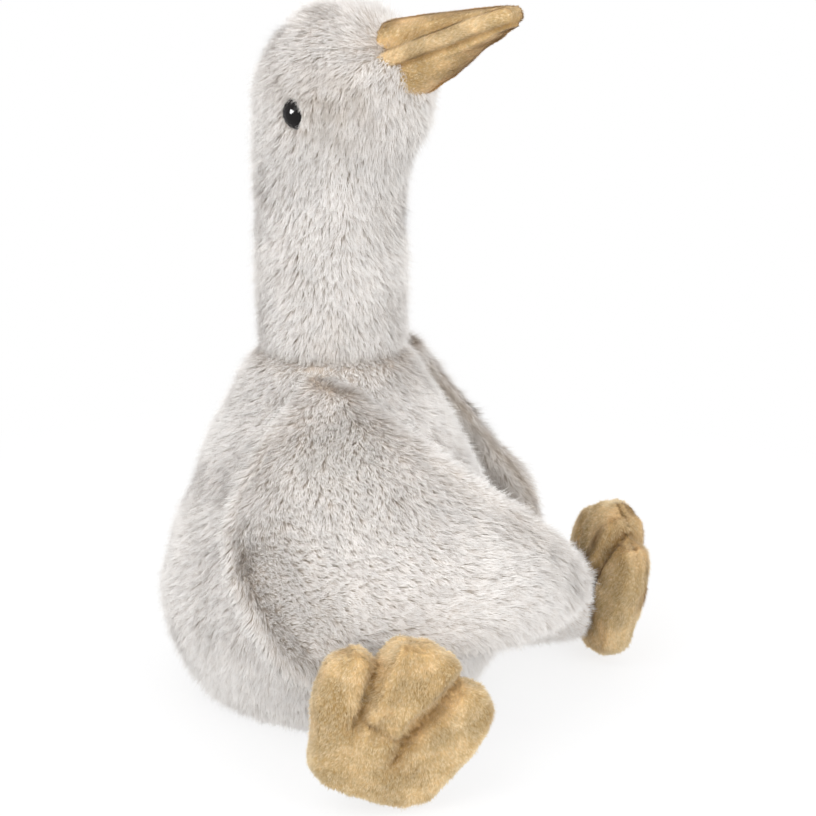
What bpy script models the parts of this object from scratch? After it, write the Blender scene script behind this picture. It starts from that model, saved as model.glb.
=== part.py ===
"""A seated plush goose, modelled as it is sewn: fur panels over loose filling, padded wings,
tube legs, three-toed feet and a stuffed beak.

Metres, +Z up. The goose faces -Y and its right side is at -X. The origin is on the floor, under
the middle of the neck, on the flat seat.
"""

import math

import bmesh
import bpy
from mathutils import Vector

# Cloth and clearances
GAP = 0.0003                  # between pieces that touch
FUR_WALL = 0.0035             # long-pile cloth with its pile pressed flat
VELVET_WALL = 0.0022          # short-pile cloth of the beak and the feet
SEAM_EDGE = 0.0016            # each panel's thickness where two are sewn together

# Torso, a pear whose belly leans forward
SEAT_RADIUS = 0.0535
RUMP_HEIGHT = 0.043
RUMP_RADIUS = 0.0735
CHEST_HEIGHT = 0.104
CHEST_RADIUS = 0.0535
NECK_SEAM_HEIGHT = 0.150
NECK_RADIUS = 0.030
BELLY_FORWARD = 0.0045        # the seat's middle lies this far in front of the neck's

# Neck and head, one tube with a domed top
NECK_LENGTH = 0.062            # from the neck seam to where the head starts to swell
HEAD_RISE = 0.040              # from there to the head's widest place
HEAD_CROWN = 0.0345            # from there to the top
HEAD_START_HEIGHT = NECK_SEAM_HEIGHT + NECK_LENGTH
HEAD_MIDDLE_HEIGHT = HEAD_START_HEIGHT + HEAD_RISE
HEAD_TOP_HEIGHT = HEAD_MIDDLE_HEIGHT + HEAD_CROWN
HEAD_HALF_WIDTH = 0.0325
HEAD_HALF_DEPTH = 0.0360
HEAD_FORWARD = 0.0065

# Weighted pouch in the seat
POUCH_RADIUS = 0.036
POUCH_HEIGHT = 0.024
POUCH_FLAT = 0.55              # radius of its flat top and base, as a share

# Beak, pitched up, with a rolled rim along its sides
BEAK_PITCH = math.radians(22.0)
BEAK_SET_BACK = 0.0125         # its base lies this far behind the head's front
BEAK_ABOVE_MIDDLE = 0.0085     # and this far above the head's widest place
BEAK_LENGTH = 0.058
BEAK_ROOT = 0.012             # length that runs back under the head's fur
BEAK_HALF_WIDTH = 0.019
BEAK_TOP_RISE = 0.0195
BEAK_UNDER_DROP = 0.0130
BEAK_RIM_HEIGHT = 0.0062
BEAK_RIM_WIDTH = 0.0032
BEAK_RIM_SHOULDER = 0.80       # the rim's height at its outer edge, as a share
BEAK_RIM_CREST = 0.35          # where its crest lies across it
BEAK_RIM_GROOVE = 0.62         # the height of the groove beside it, as a share
BEAK_RIM_COLUMNS = 2           # grid columns at each side that belong to the rim
BEAK_FULLNESS = 0.80           # under 1 makes the domes above and below squarer
BEAK_ROWS = (0.0, 0.10, 0.22, 0.36, 0.50, 0.64, 0.78, 0.90, 1.0)
# Shares of the half width, the top's rise and the underside's drop along the beak
BEAK_WIDTHS = ((0.0, 1.0), (0.62, 0.76), (0.88, 0.57), (1.0, 0.342))
BEAK_RISES = ((0.0, 1.0), (0.42, 0.74), (0.83, 0.44), (1.0, 0.318))
BEAK_DROPS = ((0.0, 1.0), (0.34, 1.02), (0.64, 0.62), (0.88, 0.123), (1.0, 0.123))

# Moulded eyes with a post and a locking washer
EYE_RADIUS = 0.0062
EYE_RISE = 0.0050
EYE_BELOW_MIDDLE = 0.006      # below the head's widest place
EYE_HEIGHT = HEAD_MIDDLE_HEIGHT - EYE_BELOW_MIDDLE
EYE_FORWARD = 0.006
EYE_SINK = 0.0026             # how deep the eye's back sits in the fur
EYE_POST_RADIUS = 0.0020
EYE_POST_LENGTH = 0.0120
WASHER_RADIUS = 0.0080
WASHER_THICKNESS = 0.0014
EYE_DOME_START = 8.0           # degrees, where its dome's section starts and ends
EYE_DOME_END = 84.0

# Wings: stations from root to tip, each with its back edge and its front edge.
# An edge point is (share of the neck seam's height, bearing from the front in degrees,
# distance off the torso in half thicknesses of the wing).
WING_STATIONS = (
    ((0.967, 68.0, 0.32), (0.927, 42.0, 0.32)),
    ((0.807, 84.0, 0.80), (0.853, 28.0, 0.72)),
    ((0.600, 91.0, 0.96), (0.780, 18.0, 1.12)),
    ((0.390, 79.0, 1.04), (0.713, 10.0, 1.52)),
    ((0.250, 62.0, 1.20), (0.647, 3.0, 2.00)),
    ((0.340, 31.0, 1.68), (0.527, -7.0, 2.56)),
    ((0.333, 2.0, 2.40), (0.373, -13.0, 2.64)),
)
WING_HALF_THICKNESS = 0.0125
WING_ROOT_HALF_THICKNESS = 0.0100
WING_FILLS_OUT_BY = 0.28       # share of its length at which it is fully padded
WING_TAPERS_FROM = 0.72        # share of its length at which it thins towards the tip
WING_FULLNESS = 0.45           # under 0.5 makes its section squarer
LEFT_WING_ROOT_SWING = 27.0   # degrees that the left wing hangs further back at its root
LEFT_WING_TIP_SWING = 70.0    # the same at its tip
LEFT_WING_CLOSER = 0.013      # how much nearer the torso its tip lies

# Legs, fur tubes that point out to both sides of the front
LEG_SPLAY_ANGLE = {"right": math.radians(44.5), "left": math.radians(47.5)}
LEG_START = 0.040             # distance of the hip end from the torso's axis
LEG_HIP_RADIUS = 0.0225
LEG_ANKLE_RADIUS = 0.0200
LEG_FLOOR_CLEARANCE = 0.0070

# Feet, upright on their heels at the ends of the legs
FOOT_REACH = 0.1220           # from the torso's axis to the middle of the foot's thickness
FOOT_LENGTH = 0.070
FOOT_HEEL_HALF_WIDTH = 0.0320
FOOT_TOE_HALF_WIDTH = 0.0370
FOOT_HALF_THICKNESS = 0.0135
FOOT_HEEL_FLAT = 0.0090       # half width of the heel's lowest row
FOOT_PALM_LENGTH = 0.029      # from the heel to the root of the toes
TOE_CREASE_DEPTH = 0.0062
TOE_NOTCH_DEPTH = 0.0075
OUTER_CORNER_DROP = 2.2        # how much deeper the foot's outer corners drop than a notch
SIDE_TOE_DROP = 0.0110        # how much shorter the two side toes are
# Creases beside the middle toe, outer crease first: across the foot at their root and their tip
TOE_CREASES = {"right": ((-0.0175, -0.0170), (0.0010, 0.0165)),
               "left": ((-0.0105, -0.0170), (0.0105, 0.0170))}
TOE_CREASE_SHARE = 0.13        # how far a crease reaches into a toe, as a share of its width
TOE_FOLD_PLACE = 0.5           # share of the length where the middle toe folds over the palm
TOE_FOLD_DEPTH = 0.0040
FOOT_WIDENS_FROM = 0.35        # shares of its length between which the foot widens to the toes
FOOT_WIDENS_TO = 0.80
FOOT_FULLNESS = 0.35           # under 0.5 makes its section squarer
FOOT_ROLL_ANGLE = {"right": math.radians(23.0), "left": math.radians(2.0)}
FOOT_LEAN = {"right": 0.0, "left": 0.13}     # how far the toes lean out for each metre up

SIDES = {"right": -1.0, "left": 1.0}

# Facets
AROUND_HALF = 10              # steps around half of the torso or the neck
AROUND_LEG = 14

# Colours as linear values: colour, roughness
FUR = ((0.64, 0.60, 0.565), 0.95)
FUR_LINING = ((0.55, 0.51, 0.47), 0.95)
FILLING = ((0.85, 0.85, 0.84), 0.90)
POUCH_CLOTH = ((0.72, 0.70, 0.66), 0.85)
VELVET = ((0.56, 0.385, 0.19), 0.85)
EYE_PLASTIC = ((0.012, 0.011, 0.010), 0.12)
WASHER_PLASTIC = ((0.75, 0.75, 0.73), 0.45)


def clear_scene():
    """Empty the file of whatever it opened with."""
    for item in list(bpy.data.objects):
        bpy.data.objects.remove(item, do_unlink=True)


def make_material(name, finish):
    """A Principled material of one colour and roughness."""
    colour, roughness = finish
    material = bpy.data.materials.new(name)
    material.use_nodes = True
    shader = material.node_tree.nodes["Principled BSDF"]
    shader.inputs["Base Color"].default_value = (*colour, 1.0)
    shader.inputs["Roughness"].default_value = roughness
    shader.inputs["Metallic"].default_value = 0.0
    return material


def mix(start, end, share):
    """The value that lies a share of the way from start to end."""
    return start + (end - start) * share


def ease(share):
    """A smooth step from 0 to 1."""
    share = min(1.0, max(0.0, share))
    return share * share * (3.0 - 2.0 * share)


def even(count):
    """count + 1 even shares from 0 to 1."""
    return [step / count for step in range(count + 1)]


def edge_shares(count):
    """Shares from 0 to 1 that crowd towards both ends, where a padded form turns over."""
    return [(1.0 - math.cos(math.pi * step / count)) / 2.0 for step in range(count + 1)]


def curve_value(keys, place):
    """Read a smooth curve through (place, value) keys."""
    place = min(max(place, keys[0][0]), keys[-1][0])
    span = 0
    while span < len(keys) - 2 and place > keys[span + 1][0]:
        span += 1
    start, end = keys[span], keys[span + 1]
    before = keys[max(span - 1, 0)]
    after = keys[min(span + 2, len(keys) - 1)]
    width = end[0] - start[0]
    leave = (end[1] - before[1]) / (end[0] - before[0]) * width
    arrive = (after[1] - start[1]) / (after[0] - start[0]) * width
    share = (place - start[0]) / width
    square, cube = share ** 2, share ** 3
    return ((2 * cube - 3 * square + 1) * start[1] + (cube - 2 * square + share) * leave
            + (3 * square - 2 * cube) * end[1] + (cube - square) * arrive)


def add_object(name, mesh, material):
    """Link a mesh as a named piece, shaded smooth over its soft faces."""
    mesh.materials.append(material)
    mesh.shade_smooth()
    mesh.set_sharp_from_angle(angle=math.radians(50.0))
    piece = bpy.data.objects.new(name, mesh)
    bpy.context.scene.collection.objects.link(piece)
    return piece


def mesh_from_faces(name, points, faces):
    """A closed mesh with its poles merged and its faces pointing out."""
    shape = bmesh.new()
    corners = [shape.verts.new(point) for point in points]
    for face in faces:
        shape.faces.new([corners[index] for index in face])
    bmesh.ops.remove_doubles(shape, verts=shape.verts, dist=1e-6)
    bmesh.ops.recalc_face_normals(shape, faces=shape.faces)
    if shape.calc_volume(signed=True) < 0.0:
        bmesh.ops.reverse_faces(shape, faces=shape.faces)
    mesh = bpy.data.meshes.new(name)
    shape.to_mesh(mesh)
    shape.free()
    return mesh


def patch(first, second, third, fourth):
    """Two triangles over four corners, always split the same way.

    A form and the larger copy of it that clears its neighbours then have parallel facets.
    """
    return [(first, second, third), (first, third, fourth)]


def slab(name, front, back, material, wrap=False):
    """A solid between two grids of points with the same rows and columns.

    With wrap the columns close on themselves, as on a tube.
    """
    rows, columns = len(front), len(front[0])
    points = [point for grid in (front, back) for row in grid for point in row]

    def index(layer, row, column):
        return layer * rows * columns + row * columns + column % columns

    faces = []
    last = columns if wrap else columns - 1
    for row in range(rows - 1):
        for column in range(last):
            for layer in (0, 1):
                faces += patch(index(layer, row, column), index(layer, row, column + 1),
                               index(layer, row + 1, column + 1), index(layer, row + 1, column))
    for row in (0, rows - 1):
        for column in range(last):
            faces += patch(index(0, row, column), index(0, row, column + 1),
                           index(1, row, column + 1), index(1, row, column))
    if not wrap:
        for column in (0, columns - 1):
            for row in range(rows - 1):
                faces += patch(index(0, row, column), index(0, row + 1, column),
                               index(1, row + 1, column), index(1, row, column))
    return add_object(name, mesh_from_faces(name, points, faces), material)


def ring_faces(count, around):
    """The faces between neighbouring rings of a stack."""
    faces = []
    for row in range(count - 1):
        for step in range(around):
            following = (step + 1) % around
            faces += patch(row * around + step, row * around + following,
                           (row + 1) * around + following, (row + 1) * around + step)
    return faces


def loft(name, rings, material):
    """A solid through a stack of rings, capped at both ends."""
    around = len(rings[0])
    points = [point for ring in rings for point in ring]
    faces = ring_faces(len(rings), around)
    faces += [tuple(range(around)), tuple((len(rings) - 1) * around + step for step in range(around))]
    return add_object(name, mesh_from_faces(name, points, faces), material)


def cut(piece, cutters):
    """Take each cutter's shape out of the piece."""
    for cutter in cutters:
        carve = piece.modifiers.new(cutter.name, "BOOLEAN")
        carve.operation = "DIFFERENCE"
        carve.solver = "EXACT"
        carve.object = cutter


def as_cutter(shape):
    """Keep a shape as a guide only, seen as wires."""
    shape.hide_render = True
    shape.display_type = "WIRE"
    return shape


def torso_radius(height):
    """The pear's radius at a height, fur included."""
    keys = ((0.0, SEAT_RADIUS), (RUMP_HEIGHT, RUMP_RADIUS), (CHEST_HEIGHT, CHEST_RADIUS),
            (NECK_SEAM_HEIGHT, NECK_RADIUS))
    return curve_value(keys, height)


def torso_forward(height):
    """How far the torso's middle lies in front of the neck's at a height."""
    return BELLY_FORWARD * (1.0 - ease(height / NECK_SEAM_HEIGHT))


def torso_point(height, bearing, off):
    """A point off the torso: bearing 0 is the front and positive bearings go to +X."""
    radius = torso_radius(height) + off
    return Vector((radius * math.sin(bearing),
                   -torso_forward(height) - radius * math.cos(bearing), height))


def torso_heights(bottom):
    """Heights from bottom to the neck seam, closer together near the rounded seat."""
    heights = [(NECK_SEAM_HEIGHT - GAP / 2.0) * share ** 1.25 for share in even(11)]
    return [bottom] + [height for height in heights if height > bottom + GAP]


def neck_section(height, grow):
    """The neck's or the head's (forward, half width, half depth) at a height."""
    swell = ease((height - HEAD_START_HEIGHT) / (HEAD_MIDDLE_HEIGHT - HEAD_START_HEIGHT))
    half_width = mix(NECK_RADIUS, HEAD_HALF_WIDTH, swell) + grow
    half_depth = mix(NECK_RADIUS, HEAD_HALF_DEPTH, swell) + grow
    dome = 1.0
    if height > HEAD_MIDDLE_HEIGHT:
        rise = (height - HEAD_MIDDLE_HEIGHT) / (HEAD_TOP_HEIGHT + grow - HEAD_MIDDLE_HEIGHT)
        dome = math.sqrt(max(0.0, 1.0 - rise * rise))
    return HEAD_FORWARD * swell, half_width * dome, half_depth * dome


def neck_point(height, bearing, grow):
    """A point on the neck or head; bearings are as on the torso."""
    forward, half_width, half_depth = neck_section(height, grow)
    return Vector((half_width * math.sin(bearing), -forward - half_depth * math.cos(bearing), height))


def neck_heights(bottom, grow):
    """Heights up the neck, then over the dome of the head."""
    straight = [mix(bottom, HEAD_MIDDLE_HEIGHT, share) for share in even(8)]
    rise = HEAD_TOP_HEIGHT + grow - HEAD_MIDDLE_HEIGHT
    dome = [HEAD_MIDDLE_HEIGHT + rise * math.sin(math.pi / 2.0 * share) for share in even(6)[1:]]
    return straight + dome


def half_turn(steps, side):
    """Bearings from the front seam round one side to the back seam."""
    return [side * math.pi * share for share in even(steps)]


def full_turn(steps):
    """Bearings all the way round, without repeating the first."""
    return [2.0 * math.pi * step / steps for step in range(steps)]


def torso_form(name, grow, bottom, material):
    """The whole torso as one solid, grown or shrunk by an offset."""
    return loft(name, [[torso_point(height, bearing, grow) for bearing in full_turn(2 * AROUND_HALF)]
                       for height in torso_heights(bottom)], material)


def neck_form(name, grow, bottom, material):
    """The whole neck and head as one solid, grown or shrunk by an offset."""
    return loft(name, [[neck_point(height, bearing, grow) for bearing in full_turn(2 * AROUND_HALF - 2)]
                       for height in neck_heights(bottom, grow)], material)


def make_torso(fur, lining, filling, pouch_cloth):
    """Two fur panels, the seat gusset, the weighted pouch and the filling."""
    for name, side in SIDES.items():
        shift = Vector((side * GAP / 2.0, 0.0, 0.0))
        bearings = half_turn(AROUND_HALF, side)
        walls = [[[torso_point(height, bearing, grow) + shift for bearing in bearings]
                  for height in torso_heights(0.0)] for grow in (0.0, -FUR_WALL)]
        slab(f"torso_panel_{name}", walls[0], walls[1], fur)

    gusset_radius = SEAT_RADIUS - FUR_WALL - GAP
    middle = Vector((0.0, -BELLY_FORWARD, 0.0))
    gusset_rings = [[middle + Vector((gusset_radius * math.sin(bearing),
                                      -gusset_radius * math.cos(bearing), height))
                     for bearing in full_turn(2 * AROUND_HALF)] for height in (0.0, FUR_WALL)]
    loft("seat_gusset", gusset_rings, lining)

    floor = FUR_WALL + GAP
    pouch_rings = pouch_form_rings(floor, 0.0)
    loft("pellet_pouch", pouch_rings, pouch_cloth)
    pocket = as_cutter(loft("pouch_pocket", pouch_form_rings(floor - 2.0 * GAP, GAP), pouch_cloth))
    stuffing = torso_form("torso_filling", -FUR_WALL - GAP, floor, filling)
    cut(stuffing, [pocket])


def pouch_form_rings(floor, grow):
    """Rings of a low round pouch that stands on a floor height."""
    top = FUR_WALL + GAP + POUCH_HEIGHT + grow
    rings = []
    for share in edge_shares(8):
        height = mix(floor, top, share)
        bulge = math.sqrt(max(0.0, 1.0 - (2.0 * share - 1.0) ** 4))
        radius = POUCH_RADIUS * mix(POUCH_FLAT, 1.0, bulge) + grow
        rings.append([Vector((radius * math.sin(bearing), -BELLY_FORWARD - radius * math.cos(bearing),
                              height)) for bearing in full_turn(18)])
    return rings


def eye_place(side):
    """The middle of an eye's back and the head's half width there."""
    forward, half_width, half_depth = neck_section(EYE_HEIGHT, 0.0)
    across = half_width * math.sqrt(1.0 - ((EYE_FORWARD - forward) / half_depth) ** 2)
    return Vector((side * (across - EYE_SINK), -EYE_FORWARD, EYE_HEIGHT)), across


def turned(name, profile, middle, side, material, closed):
    """Turn a profile of (radius, distance out) points about an axis across the goose.

    A closed profile is a ring's section; an open one starts and ends on the axis.
    """
    rings = [[middle + Vector((side * out, radius * math.sin(bearing), radius * math.cos(bearing)))
              for bearing in full_turn(14)] for radius, out in profile]
    if not closed:
        return loft(name, rings, material)
    rings.append(rings[0])
    points = [point for ring in rings for point in ring]
    return add_object(name, mesh_from_faces(name, points, ring_faces(len(rings), len(rings[0]))), material)


def eye_profile(grow):
    """The eye's section from the end of its post to the top of its dome."""
    post = EYE_POST_RADIUS + grow
    profile = [(post * 0.5, -EYE_POST_LENGTH - grow), (post, -EYE_POST_LENGTH + EYE_POST_RADIUS),
               (post, -grow), (EYE_RADIUS + grow, -grow)]
    for share in even(5):
        angle = math.radians(mix(EYE_DOME_START, EYE_DOME_END, share))
        profile.append(((EYE_RADIUS + grow) * math.cos(angle), (EYE_RISE + grow) * math.sin(angle)))
    return profile


def washer_profile(out, grow):
    """The washer's section, grown for the pocket that it needs in the filling."""
    hole = EYE_POST_RADIUS + GAP - grow
    rim = WASHER_RADIUS + grow
    near, far = out + grow, out - WASHER_THICKNESS - grow
    return [(hole, near), (rim, near), (rim, far), (hole, far)]


def make_neck(fur, filling, eye_plastic, washer_plastic):
    """Two fur panels from the neck seam over the head, their filling, the eyes and washers."""
    bottom = NECK_SEAM_HEIGHT + GAP / 2.0
    stuffing = neck_form("neck_filling", -FUR_WALL - GAP, bottom, filling)
    for name, side in SIDES.items():
        shift = Vector((side * GAP / 2.0, 0.0, 0.0))
        bearings = half_turn(AROUND_HALF - 1, side)
        walls = [[[neck_point(height, bearing, grow) + shift for bearing in bearings]
                  for height in neck_heights(bottom, grow)] for grow in (0.0, -FUR_WALL)]
        panel = slab(f"neck_panel_{name}", walls[0], walls[1], fur)

        middle, across = eye_place(side)
        turned(f"eye_{name}", eye_profile(0.0), middle, side, eye_plastic, False)
        hole = as_cutter(turned(f"eye_hole_{name}", eye_profile(GAP), middle, side, eye_plastic, False))
        # The washer is flat and the cloth is round, so the washer's rim is what touches it.
        inner = neck_section(EYE_HEIGHT, -FUR_WALL)
        sag = inner[2] - math.sqrt(inner[2] ** 2 - (WASHER_RADIUS + EYE_FORWARD) ** 2)
        lowest = neck_section(EYE_HEIGHT - WASHER_RADIUS, -FUR_WALL)[1]
        highest = neck_section(EYE_HEIGHT + WASHER_RADIUS, -FUR_WALL)[1]
        seat = min(inner[1] - sag, lowest, highest) - GAP - (across - EYE_SINK)
        turned(f"eye_washer_{name}", washer_profile(seat, 0.0), middle, side, washer_plastic, True)
        room = WASHER_RADIUS + GAP
        reach = [(room, seat + FUR_WALL), (room, seat - WASHER_THICKNESS - GAP)]
        pocket = as_cutter(turned(f"washer_pocket_{name}", reach, middle, side, washer_plastic, False))
        cut(panel, [hole])
        cut(stuffing, [hole, pocket])


def padded_panel(name, spread, side, wall, material):
    """One sewn half of a padded form, from a grid of (middle, normal, rise, drop).

    The grid's first row is the open root. At its sides and at its last row the cloth closes.
    """
    outer, inner = [], []
    for row in spread:
        outer.append([])
        inner.append([])
        for column, (middle, normal, rise, drop) in enumerate(row):
            bulge = rise if side > 0 else drop
            closed = row is spread[-1] or column in (0, len(row) - 1)
            hollow = 0.0 if closed else max(bulge - wall, 0.0)
            outer[-1].append(middle + normal * side * (GAP / 2.0 + bulge))
            inner[-1].append(middle + normal * side * (GAP / 2.0 + hollow))
    return slab(name, outer, inner, material)


def padded_filling(name, spread, wall, material):
    """What fills a padded form, clear of its cloth on both sides."""
    least = GAP
    fronts = [[middle + normal * max(rise - wall - GAP / 2.0, least) for middle, normal, rise, drop in row]
              for row in spread]
    backs = [[middle - normal * max(drop - wall - GAP / 2.0, least) for middle, normal, rise, drop in row]
             for row in spread]
    return slab(name, fronts, backs, material)


def beak_spread(lengths, inset):
    """The beak's grid: a rolled rim at each side and a dome above and below it."""
    along = Vector((0.0, -math.cos(BEAK_PITCH), math.sin(BEAK_PITCH)))
    up = Vector((0.0, math.sin(BEAK_PITCH), math.cos(BEAK_PITCH)))
    base = Vector((0.0, BEAK_SET_BACK - HEAD_FORWARD - HEAD_HALF_DEPTH,
                   HEAD_MIDDLE_HEIGHT + BEAK_ABOVE_MIDDLE))
    groove = BEAK_RIM_GROOVE * BEAK_RIM_HEIGHT
    spread = []
    for share in lengths:
        place = mix(-BEAK_ROOT, BEAK_LENGTH, share)
        ratio = max(place, 0.0) / BEAK_LENGTH
        half = BEAK_HALF_WIDTH * curve_value(BEAK_WIDTHS, ratio)
        top = BEAK_TOP_RISE * curve_value(BEAK_RISES, ratio)
        under = BEAK_UNDER_DROP * curve_value(BEAK_DROPS, ratio)
        foot = half - BEAK_RIM_WIDTH
        crest = mix(foot, half, BEAK_RIM_CREST)
        row = []
        if not inset:
            row.append((half, BEAK_RIM_HEIGHT * BEAK_RIM_SHOULDER, SEAM_EDGE))
            row.append((crest, BEAK_RIM_HEIGHT, SEAM_EDGE))
        for angle_share in even(8)[1:-1] if inset else even(8):
            angle = math.pi * angle_share
            dome = max(math.sin(angle), 0.0) ** BEAK_FULLNESS
            rise = mix(groove, max(top, groove), dome)
            row.append((foot * math.cos(angle), rise, mix(SEAM_EDGE, max(under, SEAM_EDGE), dome)))
        if not inset:
            row.append((-crest, BEAK_RIM_HEIGHT, SEAM_EDGE))
            row.append((-half, BEAK_RIM_HEIGHT * BEAK_RIM_SHOULDER, SEAM_EDGE))
        middle = base + along * place
        spread.append([(middle + Vector((across, 0.0, 0.0)), up, rise, drop) for across, rise, drop in row])
    return spread


def make_beak(velvet, filling, head_cutter):
    """The top panel with its rims, the narrower under panel and the filling between them."""
    spread = beak_spread(BEAK_ROWS, False)
    between_rims = [row[BEAK_RIM_COLUMNS:-BEAK_RIM_COLUMNS] for row in spread]
    pieces = [padded_panel("beak_top_panel", spread, 1.0, VELVET_WALL, velvet),
              padded_panel("beak_under_panel", between_rims, -1.0, VELVET_WALL, velvet),
              padded_filling("beak_filling", beak_spread(BEAK_ROWS[:-2], True), VELVET_WALL, filling)]
    for piece in pieces:
        cut(piece, [head_cutter])


def wing_edge(which, share, side):
    """A point (height, bearing, off) on the wing's back edge, 0, or front edge, 1."""
    steps = len(WING_STATIONS) - 1
    values = []
    for item in range(3):
        keys = [(step / steps, WING_STATIONS[step][which][item]) for step in range(steps + 1)]
        values.append(curve_value(keys, share))
    height, bearing, off = values[0] * NECK_SEAM_HEIGHT, values[1], values[2] * WING_HALF_THICKNESS
    if side > 0:
        bearing += mix(LEFT_WING_ROOT_SWING, LEFT_WING_TIP_SWING, share ** 0.6)
        off -= LEFT_WING_CLOSER * ease(share)
    return height, math.radians(bearing), off


def wing_spread(rows, columns, side):
    """The wing's grid, wrapped round the torso and padded most along its middle."""
    spread = []
    for share in rows:
        back = wing_edge(0, share, side)
        front = wing_edge(1, share, side)
        body = mix(WING_ROOT_HALF_THICKNESS, WING_HALF_THICKNESS, ease(share / WING_FILLS_OUT_BY))
        thinned = ease((share - WING_TAPERS_FROM) / (1.0 - WING_TAPERS_FROM)) ** 2
        body = mix(body, SEAM_EDGE, thinned)
        row = []
        for across in columns:
            height, bearing, off = (mix(back[item], front[item], across) for item in range(3))
            normal = Vector((side * math.sin(bearing), -math.cos(bearing), 0.0))
            crown = max(0.0, 1.0 - (2.0 * across - 1.0) ** 2) ** WING_FULLNESS
            bulge = mix(SEAM_EDGE, body, crown)
            row.append((torso_point(height, side * bearing, off), normal, bulge, bulge))
        spread.append(row)
    return spread


def make_wing(name, side, fur, filling, cutters):
    """The outer and inner panels of a wing and the filling between them."""
    rows, columns = even(12), edge_shares(8)
    spread = wing_spread(rows, columns, side)
    core = wing_spread(rows[:-2], columns[1:-1], side)
    pieces = [padded_panel(f"wing_outer_panel_{name}", spread, 1.0, FUR_WALL, fur),
              padded_panel(f"wing_inner_panel_{name}", spread, -1.0, FUR_WALL, fur),
              padded_filling(f"wing_filling_{name}", core, FUR_WALL, filling)]
    for piece in pieces:
        cut(piece, cutters)


UP = Vector((0.0, 0.0, 1.0))


def leg_frame(name):
    """The directions along a leg and across it, towards the midline."""
    side, splay = SIDES[name], LEG_SPLAY_ANGLE[name]
    along = Vector((side * math.sin(splay), -math.cos(splay), 0.0))
    across = Vector((-side * math.cos(splay), -math.sin(splay), 0.0))
    return along, across


def leg_rings(name, grow):
    """Rings of a leg from inside the torso to inside the foot."""
    along, across = leg_frame(name)
    rings = []
    for share in even(6):
        radius = mix(LEG_HIP_RADIUS, LEG_ANKLE_RADIUS, ease(share))
        middle = along * mix(LEG_START, FOOT_REACH, share)
        middle.z = radius + LEG_FLOOR_CLEARANCE
        radius += grow
        rings.append([middle + across * radius * math.cos(angle) + UP * radius * math.sin(angle)
                      for angle in full_turn(AROUND_LEG)])
    return rings


def make_leg(name, fur, filling, cutters):
    """The fur tube of a leg and its filling."""
    tube = slab(f"leg_tube_{name}", leg_rings(name, 0.0), leg_rings(name, -FUR_WALL), fur, wrap=True)
    core = loft(f"leg_filling_{name}", leg_rings(name, -FUR_WALL - GAP), filling)
    for piece in (tube, core):
        cut(piece, cutters)


def toe_columns():
    """(toe, share across it) pairs from the outer side of the foot to the inner side."""
    shares = (TOE_CREASE_SHARE, 0.5, 1.0 - TOE_CREASE_SHARE, 1.0)
    return [(0, 0.0)] + [(toe, share) for toe in range(3) for share in shares]


FOOT_ROWS = sorted(edge_shares(7) + [TOE_FOLD_PLACE])
FOOT_COLUMNS = toe_columns()


def foot_outline_point(toe, across, along, creases):
    """A point (across, up from the heel) in the plane of an unrolled foot."""
    fall = 0.0 if toe == 1 else SIDE_TOE_DROP
    dip = 1.0 - 4.0 * across * (1.0 - across)
    outer_corner = (toe == 0 and across < 0.5) or (toe == 2 and across > 0.5)
    notch = TOE_NOTCH_DEPTH * dip * (OUTER_CORNER_DROP if outer_corner else 1.0)
    top = FOOT_LENGTH - fall * mix(1.0, 0.5, dip) - notch
    up = top * along
    heel = min(up / FOOT_HEEL_HALF_WIDTH, 1.0)
    half = mix(FOOT_HEEL_FLAT, FOOT_HEEL_HALF_WIDTH, math.sqrt(1.0 - (1.0 - heel) ** 2))
    widened = ease((along - FOOT_WIDENS_FROM) / (FOOT_WIDENS_TO - FOOT_WIDENS_FROM))
    half = mix(half, FOOT_TOE_HALF_WIDTH, widened)
    towards_tip = ease((along - TOE_FOLD_PLACE) / (1.0 - TOE_FOLD_PLACE))
    edges = [-half, half]
    for place, (root, tip) in enumerate(creases, 1):
        edges.insert(place, mix(root * half / FOOT_TOE_HALF_WIDTH, tip, towards_tip))
    return mix(edges[toe], edges[toe + 1], across), up


def foot_bulge(toe, across, along):
    """Half thicknesses of the padded foot, on its sole and its instep: full toes with creases."""
    whole = (toe + across) / 3.0
    crown = max(0.0, 1.0 - (2.0 * whole - 1.0) ** 2) ** FOOT_FULLNESS
    length = max(0.0, 1.0 - (2.0 * along - 1.0) ** 2) ** FOOT_FULLNESS
    bulge = mix(SEAM_EDGE, FOOT_HALF_THICKNESS, crown * length)
    nearness = max(1.0 - abs(whole - crease) * 3.0 / TOE_CREASE_SHARE for crease in (1.0 / 3.0, 2.0 / 3.0))
    among_toes = ease((along * FOOT_LENGTH - FOOT_PALM_LENGTH) / FOOT_PALM_LENGTH * 3.0)
    bulge = max(SEAM_EDGE, bulge - TOE_CREASE_DEPTH * ease(nearness) * among_toes)
    folded = TOE_FOLD_DEPTH if toe == 1 and along == TOE_FOLD_PLACE and nearness < 0.0 else 0.0
    return bulge - folded, bulge


def rolled_foot(rows, columns, name):
    """The foot's grid as (across, up, rise, drop), rolled about its middle."""
    roll = FOOT_ROLL_ANGLE[name]
    grid = []
    for along in rows:
        grid.append([])
        for toe, across in columns:
            sideways, up = foot_outline_point(toe, across, along, TOE_CREASES[name])
            up -= FOOT_LENGTH / 2.0
            grid[-1].append((sideways * math.cos(roll) + up * math.sin(roll),
                             up * math.cos(roll) - sideways * math.sin(roll),
                             *foot_bulge(toe, across, along)))
    return grid


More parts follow.
